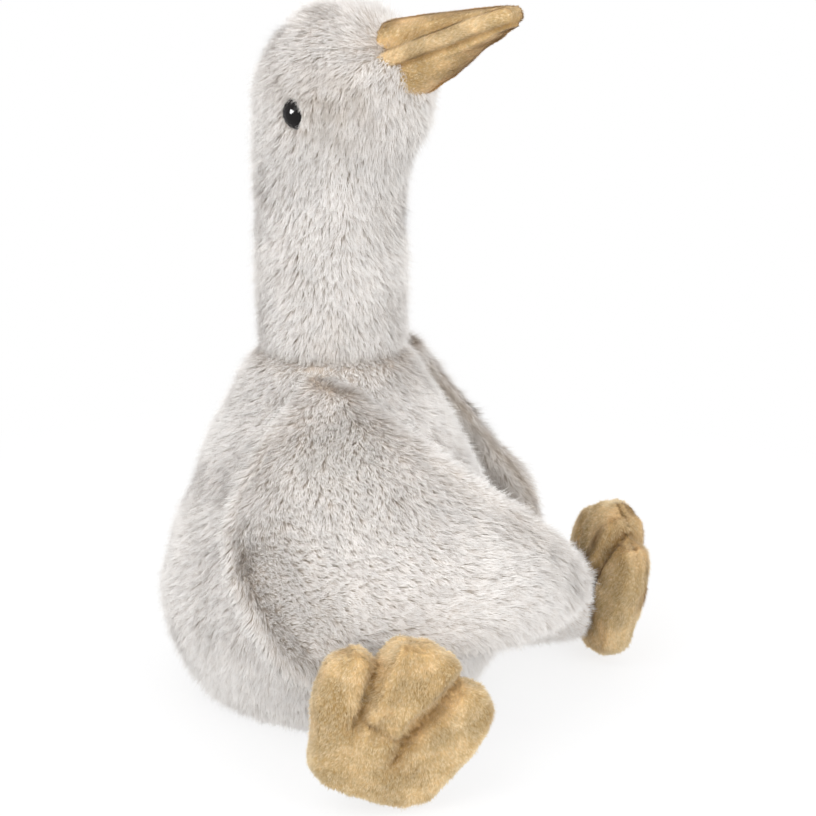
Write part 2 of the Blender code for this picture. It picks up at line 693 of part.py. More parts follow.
def foot_spread(rows, columns, name):
    """The foot's grid in the goose's frame, with its heel on the floor."""
    along_leg, across_leg = leg_frame(name)
    middle = along_leg * FOOT_REACH
    middle.z = -min(point[1] for row in rolled_foot(FOOT_ROWS, FOOT_COLUMNS, name) for point in row)
    upward = UP + along_leg * FOOT_LEAN[name]
    return [[(middle + across_leg * across + upward * up, along_leg, rise, drop)
             for across, up, rise, drop in row] for row in rolled_foot(rows, columns, name)]


def make_foot(name, velvet, filling):
    """The sole and instep panels of a foot and the filling between them."""
    spread = foot_spread(FOOT_ROWS, FOOT_COLUMNS, name)
    padded_panel(f"foot_sole_panel_{name}", spread, 1.0, VELVET_WALL, velvet)
    padded_panel(f"foot_instep_panel_{name}", spread, -1.0, VELVET_WALL, velvet)
    core = foot_spread(FOOT_ROWS[1:-2], FOOT_COLUMNS[1:-1], name)
    padded_filling(f"foot_filling_{name}", core, VELVET_WALL, filling)
    ahead = [[middle + normal * (rise + 2.0 * GAP) for middle, normal, rise, drop in row] for row in spread]
    behind = [[middle - normal * (drop + 2.0 * GAP) for middle, normal, rise, drop in row] for row in spread]
    return as_cutter(slab(f"foot_space_{name}", ahead, behind, velvet))


def main():
    """Build every piece of the goose."""
    clear_scene()
    fur = make_material("fur_cloth", FUR)
    lining = make_material("seat_cloth", FUR_LINING)
    filling = make_material("fibre_filling", FILLING)
    pouch_cloth = make_material("pouch_cloth", POUCH_CLOTH)
    velvet = make_material("velvet_cloth", VELVET)
    eye_plastic = make_material("eye_plastic", EYE_PLASTIC)
    washer_plastic = make_material("washer_plastic", WASHER_PLASTIC)

    make_torso(fur, lining, filling, pouch_cloth)
    make_neck(fur, filling, eye_plastic, washer_plastic)

    torso_space = as_cutter(torso_form("torso_space", GAP, 0.0, fur))
    neck_space = as_cutter(neck_form("neck_space", GAP, NECK_SEAM_HEIGHT - 2.0 * GAP, fur))
    make_beak(velvet, filling, neck_space)
    for name, side in SIDES.items():
        foot_space = make_foot(name, velvet, filling)
        make_leg(name, fur, filling, [torso_space, foot_space])
        leg_space = as_cutter(loft(f"leg_space_{name}", leg_rings(name, GAP), fur))
        make_wing(name, side, fur, filling, [torso_space, neck_space, leg_space, foot_space])


main()
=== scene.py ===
import math

import bmesh
import bpy
import numpy as np
from mathutils import Matrix, Vector
from mathutils.bvhtree import BVHTree
from mathutils.kdtree import KDTree


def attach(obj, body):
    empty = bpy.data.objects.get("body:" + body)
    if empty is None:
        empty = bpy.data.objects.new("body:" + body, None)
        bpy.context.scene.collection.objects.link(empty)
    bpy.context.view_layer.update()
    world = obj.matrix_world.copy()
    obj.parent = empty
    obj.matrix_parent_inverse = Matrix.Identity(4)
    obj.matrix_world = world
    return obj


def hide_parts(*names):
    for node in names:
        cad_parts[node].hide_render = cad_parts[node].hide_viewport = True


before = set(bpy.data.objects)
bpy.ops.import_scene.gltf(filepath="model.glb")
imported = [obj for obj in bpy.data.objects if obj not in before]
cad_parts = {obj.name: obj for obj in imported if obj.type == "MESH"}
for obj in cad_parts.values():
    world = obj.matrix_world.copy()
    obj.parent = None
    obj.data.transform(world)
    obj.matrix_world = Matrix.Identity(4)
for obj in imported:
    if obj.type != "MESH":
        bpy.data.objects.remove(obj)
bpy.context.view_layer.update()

# Sizes are in metres. The goose faces -Y and its right side is at -X.

NECK_SEAM_HEIGHT = 0.150
EYE_HEIGHT = 0.246
EYE_FORWARD = 0.006
EYE_ASIDE = 0.0325
EYE_RADIUS = 0.0062
BEAK_PITCH = math.radians(22.0)
BEAK_BASE = np.array((0.0, -0.030, 0.2605))
RIM_RADIUS = 0.0031
BEAK_UPRIGHT = np.array((0.0, math.sin(BEAK_PITCH), math.cos(BEAK_PITCH)))
BEAK_AHEAD = np.array((0.0, -math.cos(BEAK_PITCH), math.sin(BEAK_PITCH)))
# The beak's half widths at places along it from its base
BEAK_PLACES = (0.0, 0.0360, 0.0510, 0.0580)
BEAK_HALF_WIDTHS = (0.0190, 0.0144, 0.0108, 0.0065)
LEG_SPLAY = {"right": math.radians(-44.5), "left": math.radians(47.5)}
FOOT_REACH = 0.1220
FOOT_ROLL = {"right": math.radians(23.0), "left": math.radians(2.0)}
FOOT_LEAN = {"right": 0.0, "left": 0.13}
SIDES = {"right": -1.0, "left": 1.0}
DOWN = np.array((0.0, 0.0, -1.0))
SEED = 7
CLOTH_FRAMES = 20


# Nodes

class Wire:
    """One output of a node, with arithmetic that adds maths nodes to its tree."""

    def __init__(self, tree, socket):
        self.tree = tree
        self.socket = socket

    def make(self, kind, values=(), out=0, **settings):
        """Add any node, plug values or set them by name or number, and give its output."""
        node = self.tree.nodes.new(kind)
        for name, value in settings.items():
            setattr(node, name, value)
        for key, value in dict(values).items():
            plug(self.tree, node.inputs[key], value)
        return Wire(self.tree, node.outputs[out])

    def maths(self, operation, *others, clamp=False):
        """A maths node on this wire and up to two others."""
        values = dict(enumerate((self,) + others))
        return self.make("ShaderNodeMath", values, operation=operation, use_clamp=clamp)

    def vector_maths(self, operation, *others, out=0):
        """A vector maths node on this wire and another."""
        values = dict(enumerate((self,) + others))
        return self.make("ShaderNodeVectorMath", values, out=out, operation=operation)

    def is_vector(self):
        """Whether this wire carries a colour or a direction."""
        return self.socket.type in ("VECTOR", "RGBA")

    def join(self, operation, first, second):
        """The node for one arithmetic sign, in the kind that its sides need."""
        if any(isinstance(side, Wire) and side.is_vector() for side in (first, second)):
            node = self.tree.nodes.new("ShaderNodeVectorMath")
        else:
            node = self.tree.nodes.new("ShaderNodeMath")
        node.operation = operation
        plug(self.tree, node.inputs[0], first)
        plug(self.tree, node.inputs[1], second)
        return Wire(self.tree, node.outputs[0])

    def scaled(self, factor):
        """A vector times a number."""
        node = self.tree.nodes.new("ShaderNodeVectorMath")
        node.operation = "SCALE"
        plug(self.tree, node.inputs[0], self)
        plug(self.tree, node.inputs["Scale"], factor)
        return Wire(self.tree, node.outputs[0])

    def __add__(self, other):
        return self.join("ADD", self, other)

    def __radd__(self, other):
        return self.join("ADD", other, self)

    def __sub__(self, other):
        return self.join("SUBTRACT", self, other)

    def __rsub__(self, other):
        return self.join("SUBTRACT", other, self)

    def __mul__(self, other):
        return self.join("MULTIPLY", self, other)

    def __rmul__(self, other):
        return self.join("MULTIPLY", other, self)

    def __truediv__(self, other):
        return self.join("DIVIDE", self, other)

    def __rtruediv__(self, other):
        return self.join("DIVIDE", other, self)

    def __pow__(self, other):
        return self.join("POWER", self, other)


def plug(tree, socket, value):
    """Link a wire into a socket, or set the socket's own value."""
    if isinstance(value, Wire):
        tree.links.new(value.socket, socket)
    elif isinstance(value, (int, float)) and socket.type in ("VECTOR", "RGBA"):
        socket.default_value = (value,) * 3 if socket.type == "VECTOR" else (value,) * 3 + (1.0,)
    elif isinstance(value, (tuple, Vector)) and socket.type == "RGBA":
        socket.default_value = tuple(value)[:3] + (1.0,)
    else:
        socket.default_value = value


# Materials

def new_material(name, roughness, **constants):
    """A material with one surface shader, and a wire to start its maths from."""
    material = bpy.data.materials.new(name)
    material.use_nodes = True
    tree = material.node_tree
    shader = tree.nodes["Principled BSDF"]
    shader.inputs["Roughness"].default_value = roughness
    for key, value in constants.items():
        plug(tree, shader.inputs[key.replace("_", " ").title()], value)
    return material, tree, shader


def attribute(tree, name, out="Fac"):
    """A number or colour that the mesh carries."""
    node = tree.nodes.new("ShaderNodeAttribute")
    node.attribute_name = name
    return Wire(tree, node.outputs[out])


def place_in_object(tree):
    """The place on the piece, in metres."""
    node = tree.nodes.new("ShaderNodeTexCoord")
    return Wire(tree, node.outputs["Object"])


def blend_colours(factor, first, second):
    """Mix two colours by a wire from 0 to 1."""
    node = factor.tree.nodes.new("ShaderNodeMix")
    node.data_type = "RGBA"
    plug(factor.tree, node.inputs[0], factor)
    plug(factor.tree, node.inputs[6], first)
    plug(factor.tree, node.inputs[7], second)
    return Wire(factor.tree, node.outputs[2])


def clouds(place, scale, detail=2.0):
    """Soft noise from 0 to 1."""
    return place.make("ShaderNodeTexNoise", {"Vector": place, "Scale": scale, "Detail": detail})


def range_of(wire, low, high, first=0.0, second=1.0):
    """Stretch the part of a wire between low and high to first and second."""
    return wire.make("ShaderNodeMapRange", {"Value": wire, "From Min": low, "From Max": high,
                                            "To Min": first, "To Max": second})


def fur_material():
    """Long pile: dark at the root, pale at the tip, each strand and tuft of its own tone, darkened by
    painted shade where the skin's shade is low.
    """
    material, tree, shader = new_material("long pile", 0.9, sheen_weight=0.15, sheen_roughness=0.6)
    shader.inputs["Specular IOR Level"].default_value = 0.15
    along = attribute(tree, "along")
    tint = attribute(tree, "tint")
    shade = attribute(tree, "shade")
    place = place_in_object(tree)
    patches = range_of(clouds(place, 38.0), 0.35, 0.65, 0.95, 1.03)
    mottling = range_of(clouds(place, 170.0), 0.35, 0.65, 0.94, 1.04)
    pale = blend_colours(tint, (0.88, 0.845, 0.81), (0.97, 0.955, 0.935))
    root = blend_colours(tint, (0.60, 0.52, 0.445), (0.72, 0.655, 0.59))
    colour = blend_colours(range_of(along, 0.0, 0.6), root, pale)
    # Painted shade: the pile darkens toward a dull brown where the skin's shade is low, at the seams,
    # beside the wings and at the partings
    painted_shade_colour = blend_colours(shade, (0.50, 0.42, 0.34), colour)
    tree.links.new(painted_shade_colour.scaled(patches * mottling).socket, shader.inputs["Base Color"])
    return material


def velvet_material():
    """Short pile brushed in patches, with pale tips, painted shade in the creases and a painted sheen along
    the rims.
    """
    material, tree, shader = new_material("short pile", 0.85, sheen_weight=0.2, sheen_roughness=0.45)
    shader.inputs["Specular IOR Level"].default_value = 0.2
    place = place_in_object(tree)
    crease = attribute(tree, "crease")
    edge = attribute(tree, "edge")
    along = attribute(tree, "along")
    tint = attribute(tree, "tint")
    brushed = range_of(clouds(place, 70.0, 3.0), 0.38, 0.62)
    grain = clouds(place, 900.0, 2.0)
    root = blend_colours(brushed, (0.53, 0.34, 0.127), (0.72, 0.51, 0.25))
    tip = blend_colours(tint, (0.60, 0.40, 0.168), (0.96, 0.82, 0.555))
    colour = blend_colours(range_of(along, 0.0, 0.8), root, tip)
    # Painted sheen: paler along the foot's seam rim and the beak's rolled rim
    colour = blend_colours(edge, colour, (0.84, 0.68, 0.44))
    # Painted shade: darker brown in the creases, the fold, the valley and the mouth's line
    colour = blend_colours(crease, colour, (0.36, 0.19, 0.06))
    tone = range_of(grain, 0.3, 0.7, 0.88, 1.10) * (0.86 + brushed * 0.24)
    tree.links.new(colour.scaled(tone).socket, shader.inputs["Base Color"])
    bump = tree.nodes.new("ShaderNodeBump")
    bump.inputs["Strength"].default_value = 0.35
    bump.inputs["Distance"].default_value = 0.0006
    tree.links.new(grain.socket, bump.inputs["Height"])
    tree.links.new(bump.outputs[0], shader.inputs["Normal"])
    return material


def eye_material():
    """Glossy black, a little smudged."""
    material, tree, shader = new_material("black moulded plastic", 0.06, base_color=(0.010, 0.009, 0.009))
    shader.inputs["Specular IOR Level"].default_value = 0.12
    smudge = range_of(clouds(place_in_object(tree), 400.0), 0.3, 0.7, 0.04, 0.09)
    tree.links.new(smudge.socket, shader.inputs["Roughness"])
    return material


def lining_material():
    """Plain woven cloth."""
    material, tree, shader = new_material("seat cloth", 0.95)
    weave = clouds(place_in_object(tree), 1500.0)
    colour = blend_colours(weave, (0.46, 0.42, 0.38), (0.58, 0.54, 0.50))
    tree.links.new(colour.socket, shader.inputs["Base Color"])
    return material


# Geometry

def add_piece(name, mesh, material):
    """A new object at the origin with one material."""
    piece = bpy.data.objects.new(name, mesh)
    bpy.context.scene.collection.objects.link(piece)
    mesh.materials.clear()
    mesh.materials.append(material)
    return piece


def settle(piece):
    """Make what the modifiers give the piece's own mesh."""
    depsgraph = bpy.context.evaluated_depsgraph_get()
    mesh = bpy.data.meshes.new_from_object(piece.evaluated_get(depsgraph),
                                           preserve_all_data_layers=True, depsgraph=depsgraph)
    piece.modifiers.clear()
    spent = piece.data
    piece.data = mesh
    bpy.data.meshes.remove(spent)


def around_nodes(name, nodes, cell, rounds, material, *more):
    """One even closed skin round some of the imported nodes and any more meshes."""
    form = bmesh.new()
    for mesh in [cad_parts[node].data for node in nodes] + list(more):
        form.from_mesh(mesh)
    mesh = bpy.data.meshes.new(name)
    form.to_mesh(mesh)
    form.free()
    piece = add_piece(name, mesh, material)
    even = piece.modifiers.new("even cells", "REMESH")
    even.mode = "VOXEL"
    even.voxel_size = cell
    even.use_smooth_shade = True
    relax = piece.modifiers.new("relax", "SMOOTH")
    relax.factor = 0.5
    relax.iterations = rounds
    settle(piece)
    keep_outer_shell(piece.data)
    return piece


def keep_outer_shell(mesh):
    """Drop the closed surfaces that lie inside the largest one."""
    form = bmesh.new()
    form.from_mesh(mesh)
    waiting = set(form.verts)
    shells = []
    while waiting:
        shell, edge = set(), [waiting.pop()]
        while edge:
            vertex = edge.pop()
            shell.add(vertex)
            near = [link.other_vert(vertex) for link in vertex.link_edges]
            fresh = [other for other in near if other in waiting]
            waiting.difference_update(fresh)
            edge.extend(fresh)
        shells.append(shell)
    shells.sort(key=len)
    for shell in shells[:-1]:
        bmesh.ops.delete(form, geom=list(shell), context="VERTS")
    form.to_mesh(mesh)
    form.free()


def read(mesh):
    """The points and outward normals of a mesh."""
    points = np.empty(len(mesh.vertices) * 3)
    mesh.vertices.foreach_get("co", points)
    normals = np.empty(len(mesh.vertices) * 3)
    mesh.vertex_normals.foreach_get("vector", normals)
    return points.reshape(-1, 3), normals.reshape(-1, 3)


def write(mesh, points):
    """Move a mesh's points."""
    mesh.vertices.foreach_set("co", points.ravel())
    mesh.update()


def give(mesh, name, values):
    """Store numbers or directions on a mesh's points."""
    values = np.asarray(values, float)
    kind, field = ("FLOAT_VECTOR", "vector") if values.ndim == 2 else ("FLOAT", "value")
    mesh.attributes.new(name, kind, "POINT").data.foreach_set(field, values.ravel())


def rows_dot(first, second):
    """The dot product of each row of one with the same row of the other."""
    return np.sum(first * second, axis=1, keepdims=True)


def unit(rows):
    """Each row at length 1."""
    return rows / np.maximum(np.linalg.norm(rows, axis=1, keepdims=True), 1e-9)


def over_surface(direction, normals):
    """A direction laid flat on the surface."""
    return unit(direction - normals * rows_dot(direction, normals))


def bell(distance, width):
    """1 at no distance, falling smoothly to nothing past the width."""
    return np.exp(-(distance / width) ** 2)


def step_between(values, low, high):
    """0 below low and 1 above high, or the other way round where low is the higher."""
    share = np.clip((values - low) / (high - low), 0.0, 1.0)
    return share * share * (3.0 - 2.0 * share)


def drift(points, size, seed):
    """Values from about -1 to 1 that wander smoothly over a size in metres."""
    chance = np.random.default_rng(seed)
    total = np.zeros(len(points))
    for wave in range(7):
        total += np.sin(points @ (chance.normal(size=3) * 2.2 / size) + chance.uniform(0.0, 6.28))
    return np.tanh(total / 2.6)


def turned_flow(flow, normals, angle):
    """Turn a flow on its surface by an angle at each point."""
    angle = np.reshape(angle, (-1, 1))
    return flow * np.cos(angle) + np.cross(normals, flow) * np.sin(angle)


def distance_to(points, *pieces):
    """The distance from each point to the nearest of some objects' faces."""
    nearest = np.full(len(points), 1.0)
    for piece in pieces:
        corners = [vertex.co for vertex in piece.data.vertices]
        tree = BVHTree.FromPolygons(corners, [face.vertices for face in piece.data.polygons])
        found = [tree.find_nearest(Vector(point), 0.05)[3] for point in points]
        nearest = np.minimum(nearest, [1.0 if far is None else far for far in found])
    return nearest


# Pile

def pile_group():
    """Geometry nodes that grow tapered strands on a skin, gathered into tufts."""
    tree = bpy.data.node_groups.new("pile", "GeometryNodeTree")
    numbers = ("Strands", "Tufts", "Length", "Width", "Lay", "Lift", "Gather", "Stray")
    kinds = {"Skin": "Geometry", **{name: "Float" for name in numbers}, "Seed": "Int", "Cloth": "Material"}
    for name, kind in kinds.items():
        tree.interface.new_socket(name, in_out="INPUT", socket_type=f"NodeSocket{kind}")
    tree.interface.new_socket("Pile", in_out="OUTPUT", socket_type="NodeSocketGeometry")
    start = tree.nodes.new("NodeGroupInput")
    given = {name: Wire(tree, start.outputs[name]) for name in kinds}
    skin = given["Skin"]

    def named(name, kind="FLOAT_VECTOR"):
        node = tree.nodes.new("GeometryNodeInputNamedAttribute")
        node.data_type = kind
        node.inputs["Name"].default_value = name
        return Wire(tree, node.outputs[0])

    def keep(geometry, name, value, kind="FLOAT_VECTOR"):
        node = tree.nodes.new("GeometryNodeStoreNamedAttribute")
        node.data_type = kind
        plug(tree, node.inputs["Geometry"], geometry)
        node.inputs["Name"].default_value = name
        plug(tree, node.inputs["Value"], value)
        return Wire(tree, node.outputs[0])

    def chance(seed, low=0.0, high=1.0, number=None):
        values = {2: low, 3: high, "Seed": seed}
        if number is not None:
            values["ID"] = number
        return skin.make("FunctionNodeRandomValue", values, out=1, data_type="FLOAT")

    position = skin.make("GeometryNodeInputPosition")
    roots = skin.make("GeometryNodeDistributePointsOnFaces",
                      {"Mesh": skin, "Density": given["Strands"] * named("thick", "FLOAT"),
                       "Seed": given["Seed"]}, distribute_method="RANDOM")
    tufts = skin.make("GeometryNodeDistributePointsOnFaces",
                      {"Mesh": skin, "Density": given["Tufts"], "Seed": given["Seed"] + 1.0},
                      distribute_method="RANDOM")
    nearest = skin.make("GeometryNodeSampleNearest", {"Geometry": tufts, "Sample Position": position},
                        domain="POINT")
    centre = skin.make("GeometryNodeSampleIndex", {"Geometry": tufts, "Value": position, "Index": nearest},
                       data_type="FLOAT_VECTOR", domain="POINT")
    tuft_tone = chance(3, number=nearest)
    tuft_lean = chance(4, -1.0, 1.0, number=nearest)
    tuft_length = chance(5, 0.82, 1.12, number=nearest)
    roots = keep(roots, "root", position)
    roots = keep(roots, "to_tuft", centre - position)
    roots = keep(roots, "tint", tuft_tone * 0.55 + chance(6) * 0.45, "FLOAT")
    roots = keep(roots, "lean", tuft_lean * 0.28 + chance(7, -1.0, 1.0) * given["Stray"], "FLOAT")
    roots = keep(roots, "rise", given["Lift"] * (0.6 + chance(8) ** 3.0 * 0.7), "FLOAT")
    size = given["Length"] * named("reach", "FLOAT") * tuft_length * chance(9, 0.75, 1.15)
    roots = keep(roots, "size", size, "FLOAT")

    blade = skin.make("GeometryNodeMeshGrid",
                      {"Size X": 1.0, "Size Y": 1.0, "Vertices X": 2, "Vertices Y": 2})
    apart = position.make("ShaderNodeSeparateXYZ", {0: position})
    up = Wire(tree, apart.socket.node.outputs[1]) + 0.5
    blade = keep(blade, "along", up, "FLOAT")
    blade = keep(blade, "across", apart * (1.0 - up), "FLOAT")
    pinch = position.make("ShaderNodeCombineXYZ", {0: apart * (1.0 - up), 1: up, 2: 0.0})
    blade = skin.make("GeometryNodeSetPosition", {"Geometry": blade, "Position": pinch})
    blade = skin.make("GeometryNodeMergeByDistance", {"Geometry": blade, "Distance": 0.001})
    strands = skin.make("GeometryNodeInstanceOnPoints", {"Points": roots, "Instance": blade})
    strands = skin.make("GeometryNodeRealizeInstances", {"Geometry": strands})

    along = named("along", "FLOAT")
    flow = named("flow")
    out = named("out")
    side = flow.vector_maths("CROSS_PRODUCT", out)
    length = named("size", "FLOAT") * along
    place = named("root") + flow.scaled(length * given["Lay"]) + out.scaled(length * named("rise", "FLOAT"))
    place = place + side.scaled(named("across", "FLOAT") * given["Width"] + length * named("lean", "FLOAT"))
    place = place + named("to_tuft").scaled(given["Gather"] * along)
    strands = skin.make("GeometryNodeSetPosition", {"Geometry": strands, "Position": place})
    strands = skin.make("GeometryNodeSetMaterial", {"Geometry": strands, "Material": given["Cloth"]})
    whole = tree.nodes.new("GeometryNodeJoinGeometry")
    tree.links.new(strands.socket, whole.inputs[0])
    tree.links.new(skin.socket, whole.inputs[0])
    end = tree.nodes.new("NodeGroupOutput")
    tree.links.new(whole.outputs[0], end.inputs[0])
    return tree


def grow_pile(piece, group, **inputs):
    """Grow a pile on a skin that carries flow, thick and reach, and shade it with the skin's form."""
    mesh = piece.data
    points, normals = read(mesh)
    give(mesh, "out", normals)
    pile = piece.modifiers.new("pile", "NODES")
    pile.node_group = group
    inputs["Cloth"] = mesh.materials[0]
    for item in group.interface.items_tree:
        if item.in_out == "INPUT" and item.name in inputs:
            pile[item.identifier] = inputs[item.name]
    settle(piece)
    mesh = piece.data
    points, normals = read(mesh)
    out = np.empty(len(points) * 3)
    mesh.attributes["out"].data.foreach_get("vector", out)
    soft = unit(unit(out.reshape(-1, 3)) * 0.82 + normals * 0.18)
    points[:, 2] = np.maximum(points[:, 2], 0.0003)
    write(mesh, points)
    for name in ("flow", "out", "thick", "reach", "root", "to_tuft", "lean", "rise", "size", "across"):
        mesh.attributes.remove(mesh.attributes[name])
    mesh.normals_split_custom_set_from_vertices(soft)
    return piece


def sunk(piece, depth):
    """Draw a skin in by a depth, to make room for its pile."""
    points, normals = read(piece.data)
    write(piece.data, points - normals * np.reshape(depth, (-1, 1)))


def fill_out(piece, sewn, pressure, limit):
    """Let a cover fill out from inside as cloth, held where it is sewn."""
    rest, normals = read(piece.data)
    group = piece.vertex_groups.new(name="sewn")
    for number in np.nonzero(sewn > 0.02)[0]:
        group.add([int(number)], float(sewn[number]), "REPLACE")
    cloth = piece.modifiers.new("filling", "CLOTH")
    cloth.settings.vertex_group_mass = "sewn"
    cloth.settings.use_pressure = True
    cloth.settings.uniform_pressure_force = pressure
    cloth.settings.effector_weights.gravity = 0.0
    cloth.collision_settings.use_collision = False
    cloth.point_cache.frame_start = 1
    cloth.point_cache.frame_end = CLOTH_FRAMES
    for number in range(1, CLOTH_FRAMES + 1):
        bpy.context.scene.frame_set(number)
    settle(piece)
    filled, normals = read(piece.data)
    bpy.context.scene.frame_set(1)
    shift = filled - rest
    far = np.linalg.norm(shift, axis=1, keepdims=True)
    write(piece.data, rest + shift * np.minimum(1.0, limit / np.maximum(far, 1e-9)))
    piece.vertex_groups.clear()


# The goose

fur = fur_material()
velvet = velvet_material()
eye_black = eye_material()
lining = lining_material()
pile = pile_group()
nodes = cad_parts
wings = {name: [nodes[f"wing_outer_panel_{name}"], nodes[f"wing_inner_panel_{name}"]] for name in SIDES}
legs = {name: [nodes[f"leg_tube_{name}"]] for name in SIDES}
beaks = [nodes["beak_top_panel"], nodes["beak_under_panel"]]

# Strands and tufts in each square metre, lengths in metres, and shares of a strand's length
PILE = {"Strands": 5.4e6, "Tufts": 0.30e6, "Length": 0.0062, "Width": 0.00038, "Lay": 0.62, "Lift": 0.80,
        "Gather": 0.32, "Stray": 0.22}


def part_of(piece, name, *planes):
    """A copy of the part of a skin that lies ahead of each (point, direction) plane."""
    form = bmesh.new()
    form.from_mesh(piece.data)
    for point, direction in planes:
        bmesh.ops.bisect_plane(form, geom=form.verts[:] + form.edges[:] + form.faces[:],
                               plane_co=point, plane_no=direction, clear_inner=True)
    mesh = bpy.data.meshes.new(name)
    form.to_mesh(mesh)
    form.free()
    part = add_piece(name, mesh, piece.data.materials[0])
    mesh.shade_smooth()
    return part


def finish_piece(piece, slot, *replaced):
    """Attach the piece to the root and hide the imported nodes that it replaces."""
    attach(piece, "root")
    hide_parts(*replaced)


def far_from(points, middle):
    """The distance from each point to one place."""
    return np.linalg.norm(points - np.array(middle), axis=1)


def patchy(strength, points, size, seed):
    """A strength that comes and goes over patches of a size."""
    return strength * (0.6 + 0.4 * drift(points, size, seed))


# Torso, neck and head

BODY_CELL = 0.0028
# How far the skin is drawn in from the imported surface, and how much further at the neck's seam and under
# the wings
FUR_SUNK = 0.0014
NECK_SEAM_SUNK = 0.0022
UNDER_WING_SUNK = 0.0038
# How far the forehead stands forward over the beak's rim; the lids' ring round each eye, and how far they
# stand out and lean over it
OVER_RIM = 0.0075
LID_RING = 0.0072
LID_OUT = 0.0036
LID_OVER = 0.0016
# Where the stuffing stands out or draws in: the middle of each place, how far it reaches, and by how much
BODY_PRESSES = (((0.0, 0.030, 0.276), 0.018, -0.0035),
                ((0.0, -0.042, 0.242), 0.016, 0.0030),
                ((-0.040, 0.045, 0.014), 0.030, 0.0045),
                ((0.040, 0.045, 0.014), 0.030, 0.0045))
# Partings, where painted shade darkens the pile and stands for its darker roots: the right side's places,
# their size and how much darker they are
BODY_PARTINGS = (((-0.029, -0.023, 0.251), 0.018, 0.60), ((-0.033, 0.004, 0.2565), 0.006, 0.55),
                 ((-0.026, -0.018, 0.160), 0.010, 0.30), ((-0.033, 0.0, 0.185), 0.008, 0.15))


def eye_places():
    """The middles of both eyes."""
    return [np.array((side * EYE_ASIDE, -EYE_FORWARD, EYE_HEIGHT)) for side in SIDES.values()]


def below_shoulder(height):
    """1 where the wings lie against the torso, 0 at their sewn tops."""
    return step_between(height, 0.134, 0.118)


def press_body(piece, near_wing, beak_gap):
    """Draw the skin in at the neck's seam and the wings, and form the forehead, presses and lids."""
    points, normals = read(piece.data)
    height = points[:, 2]
    under_wing = (1.0 - step_between(near_wing, 0.001, 0.009)) * below_shoulder(height)
    seam = bell(height - NECK_SEAM_HEIGHT + 0.0015, 0.0025)
    over_rim = OVER_RIM * bell((points - BEAK_BASE) @ BEAK_UPRIGHT, 0.010) * bell(beak_gap, 0.009)
    moved = points - normals * (FUR_SUNK + NECK_SEAM_SUNK * seam + UNDER_WING_SUNK * under_wing)[:, None]
    moved += over_rim[:, None] * BEAK_AHEAD
    for middle, size, out in BODY_PRESSES:
        moved += normals * (out * bell(far_from(points, middle), size))[:, None]
    for eye in eye_places():
        before_eye = step_between(-EYE_FORWARD - points[:, 1], 0.0, 0.005)
        lid = bell(far_from(points, eye) - LID_RING, 0.0028) * before_eye
        moved += lid[:, None] * (normals * LID_OUT + unit(eye - points) * LID_OVER)
    write(piece.data, moved)


def body_flow(points, normals):
    """The pile runs away from the beak and down, and wanders a little."""
    away = unit(points - BEAK_BASE)
    near_beak = bell(far_from(points, BEAK_BASE), 0.030)[:, None]
    down = unit(points * (1.0, 1.0, 0.0)) * 0.10 + np.array((0.0, 0.08, -1.0))
    crown = step_between(points[:, 2], 0.262, 0.282)[:, None]
    flow = over_surface(away * (near_beak + crown * 0.5) + down * (1.0 - near_beak), normals)
    return turned_flow(flow, normals, 0.30 * drift(points, 0.022, 3) + 0.12 * drift(points, 0.008, 4))


def body_reach(points, flow, near_wing, beak_gap):
    """The pile's share of its length: less by the floor, the seams, the beak, the wings and the eyes."""
    height = points[:, 2]
    reach = 0.75 + 0.25 * step_between(height, 0.0, 0.012)
    reach *= 1.0 - 0.55 * bell(height - NECK_SEAM_HEIGHT + 0.003, 0.004)
    reach *= 0.6 + 0.4 * step_between(beak_gap, 0.001, 0.008)
    reach *= 1.0 + 0.10 * drift(points, 0.012, 5)
    reach *= 1.0 - 0.5 * (1.0 - step_between(near_wing, 0.003, 0.010)) * below_shoulder(height)
    for eye in eye_places():
        gap = far_from(points, eye)
        heading = rows_dot(unit(eye - points), flow)[:, 0]
        clear = np.clip((gap - EYE_RADIUS * 0.68) / 0.0040, 0.08, 1.0)
        free = np.where((heading > 0.1) & (gap < 0.020), clear, np.where(gap < 0.0070, 0.4, 1.0))
        reach = np.minimum(reach, free)
    return reach


def body_shade(points, near_wing):
    """Painted shade for the pile: at the neck's seam, beside the wings and at the partings, where it also
    stands for the darker roots.
    """
    height = points[:, 2]
    ring = bell(height - NECK_SEAM_HEIGHT + 0.0012, 0.0020)
    beside_wing = (1.0 - step_between(near_wing, 0.002, 0.009)) * below_shoulder(height)
    # Painted shade in the neck's seam and beside the wings, where the pile lies in their shadow
    shade = 0.97 - 0.40 * ring - 0.15 * beside_wing
    on_right_side = np.abs(points) * (-1.0, 0.0, 0.0) + points * (0.0, 1.0, 1.0)
    for middle, size, painted_darkening in BODY_PARTINGS:
        # Painted shade at each parting, patchy, standing also for the darker roots
        shade -= patchy(painted_darkening * bell(far_from(on_right_side, middle), size), points, 0.005, 17)
    return np.clip(shade, 0.0, 1.0)


